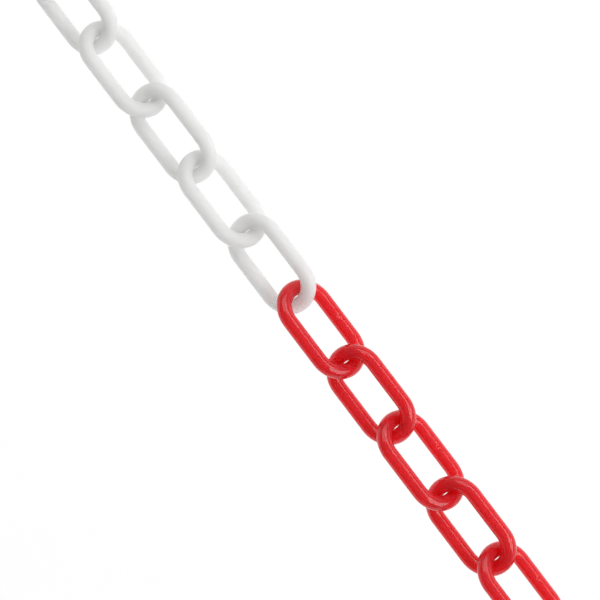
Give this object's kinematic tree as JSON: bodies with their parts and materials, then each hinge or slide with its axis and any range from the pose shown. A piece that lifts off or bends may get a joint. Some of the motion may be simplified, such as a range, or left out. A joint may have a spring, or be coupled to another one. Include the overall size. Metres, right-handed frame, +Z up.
{
  "type": "plastic barrier chain",
  "caption": "Straight length of red and white plastic barrier chain: interlinked moulded oval links lying on the ground, leaning left and right in turn, each free to swing on the next.",
  "frame": {"origin": "on the ground, under the middle of the chain", "axes": "+X along the chain from its first link to its last, +Y across it, +Z up"},
  "size_m": [1.0386, 0.0292, 0.0228],
  "materials": {
    "red_plastic": "glossy moulded polyethylene",
    "white_plastic": "satin moulded polyethylene"
  },
  "bodies": {
    "link_01": {"red_link_01": "red_plastic"},
    "link_02": {"red_link_02": "red_plastic"},
    "link_03": {"red_link_03": "red_plastic"},
    "link_04": {"red_link_04": "red_plastic"},
    "link_05": {"red_link_05": "red_plastic"},
    "link_06": {"red_link_06": "red_plastic"},
    "link_07": {"white_link_07": "white_plastic"},
    "link_08": {"white_link_08": "white_plastic"},
    "link_09": {"white_link_09": "white_plastic"},
    "link_10": {"white_link_10": "white_plastic"},
    "link_11": {"white_link_11": "white_plastic"},
    "link_12": {"white_link_12": "white_plastic"},
    "link_13": {"red_link_13": "red_plastic"},
    "link_14": {"red_link_14": "red_plastic"},
    "link_15": {"red_link_15": "red_plastic"},
    "link_16": {"red_link_16": "red_plastic"},
    "link_17": {"red_link_17": "red_plastic"},
    "link_18": {"red_link_18": "red_plastic"},
    "link_19": {"white_link_19": "white_plastic"},
    "link_20": {"white_link_20": "white_plastic"},
    "link_21": {"white_link_21": "white_plastic"},
    "link_22": {"white_link_22": "white_plastic"},
    "link_23": {"white_link_23": "white_plastic"},
    "link_24": {"white_link_24": "white_plastic"}
  },
  "joints": [
    {"name": "swing_01_02", "type": "hinge", "parent": "link_02", "child": "link_01", "pos_m": [-0.4644, 0, 0.01132], "axis": [0, -0.8192, 0.5736], "range_deg": [-120, 120]},
    {"name": "swing_02_03", "type": "hinge", "parent": "link_03", "child": "link_02", "pos_m": [-0.4218, 0, 0.01132], "axis": [0, 0.8192, 0.5736], "range_deg": [-120, 120]},
    {"name": "swing_03_04", "type": "hinge", "parent": "link_04", "child": "link_03", "pos_m": [-0.3792, 0, 0.01132], "axis": [0, 0.8192, -0.5736], "range_deg": [-120, 120]},
    {"name": "swing_04_05", "type": "hinge", "parent": "link_05", "child": "link_04", "pos_m": [-0.3366, 0, 0.01132], "axis": [0, -0.8192, -0.5736], "range_deg": [-120, 120]},
    {"name": "swing_05_06", "type": "hinge", "parent": "link_06", "child": "link_05", "pos_m": [-0.294, 0, 0.01132], "axis": [0, -0.8192, 0.5736], "range_deg": [-120, 120]},
    {"name": "swing_06_07", "type": "hinge", "parent": "link_07", "child": "link_06", "pos_m": [-0.2514, 0, 0.01132], "axis": [0, 0.8192, 0.5736], "range_deg": [-120, 120]},
    {"name": "swing_07_08", "type": "hinge", "parent": "link_08", "child": "link_07", "pos_m": [-0.2088, 0, 0.01132], "axis": [0, 0.8192, -0.5736], "range_deg": [-120, 120]},
    {"name": "swing_08_09", "type": "hinge", "parent": "link_09", "child": "link_08", "pos_m": [-0.1662, 0, 0.01132], "axis": [0, -0.8192, -0.5736], "range_deg": [-120, 120]},
    {"name": "swing_09_10", "type": "hinge", "parent": "link_10", "child": "link_09", "pos_m": [-0.1236, 0, 0.01132], "axis": [0, -0.8192, 0.5736], "range_deg": [-120, 120]},
    {"name": "swing_10_11", "type": "hinge", "parent": "link_11", "child": "link_10", "pos_m": [-0.081, 0, 0.01132], "axis": [0, 0.8192, 0.5736], "range_deg": [-120, 120]},
    {"name": "swing_11_12", "type": "hinge", "parent": "link_12", "child": "link_11", "pos_m": [-0.0384, 0, 0.01132], "axis": [0, 0.8192, -0.5736], "range_deg": [-120, 120]},
    {"name": "swing_12_13", "type": "hinge", "parent": "link_12", "child": "link_13", "pos_m": [0.0042, 0, 0.01132], "axis": [0, 0.8192, 0.5736], "range_deg": [-120, 120]},
    {"name": "swing_13_14", "type": "hinge", "parent": "link_13", "child": "link_14", "pos_m": [0.0468, 0, 0.01132], "axis": [0, 0.8192, -0.5736], "range_deg": [-120, 120]},
    {"name": "swing_14_15", "type": "hinge", "parent": "link_14", "child": "link_15", "pos_m": [0.0894, 0, 0.01132], "axis": [0, -0.8192, -0.5736], "range_deg": [-120, 120]},
    {"name": "swing_15_16", "type": "hinge", "parent": "link_15", "child": "link_16", "pos_m": [0.132, 0, 0.01132], "axis": [0, -0.8192, 0.5736], "range_deg": [-120, 120]},
    {"name": "swing_16_17", "type": "hinge", "parent": "link_16", "child": "link_17", "pos_m": [0.1746, 0, 0.01132], "axis": [0, 0.8192, 0.5736], "range_deg": [-120, 120]},
    {"name": "swing_17_18", "type": "hinge", "parent": "link_17", "child": "link_18", "pos_m": [0.2172, 0, 0.01132], "axis": [0, 0.8192, -0.5736], "range_deg": [-120, 120]},
    {"name": "swing_18_19", "type": "hinge", "parent": "link_18", "child": "link_19", "pos_m": [0.2598, 0, 0.01132], "axis": [0, -0.8192, -0.5736], "range_deg": [-120, 120]},
    {"name": "swing_19_20", "type": "hinge", "parent": "link_19", "child": "link_20", "pos_m": [0.3024, 0, 0.01132], "axis": [0, -0.8192, 0.5736], "range_deg": [-120, 120]},
    {"name": "swing_20_21", "type": "hinge", "parent": "link_20", "child": "link_21", "pos_m": [0.345, 0, 0.01132], "axis": [0, 0.8192, 0.5736], "range_deg": [-120, 120]},
    {"name": "swing_21_22", "type": "hinge", "parent": "link_21", "child": "link_22", "pos_m": [0.3876, 0, 0.01132], "axis": [0, 0.8192, -0.5736], "range_deg": [-120, 120]},
    {"name": "swing_22_23", "type": "hinge", "parent": "link_22", "child": "link_23", "pos_m": [0.4302, 0, 0.01132], "axis": [0, -0.8192, -0.5736], "range_deg": [-120, 120]},
    {"name": "swing_23_24", "type": "hinge", "parent": "link_23", "child": "link_24", "pos_m": [0.4728, 0, 0.01132], "axis": [0, -0.8192, 0.5736], "range_deg": [-120, 120]}
  ]
}
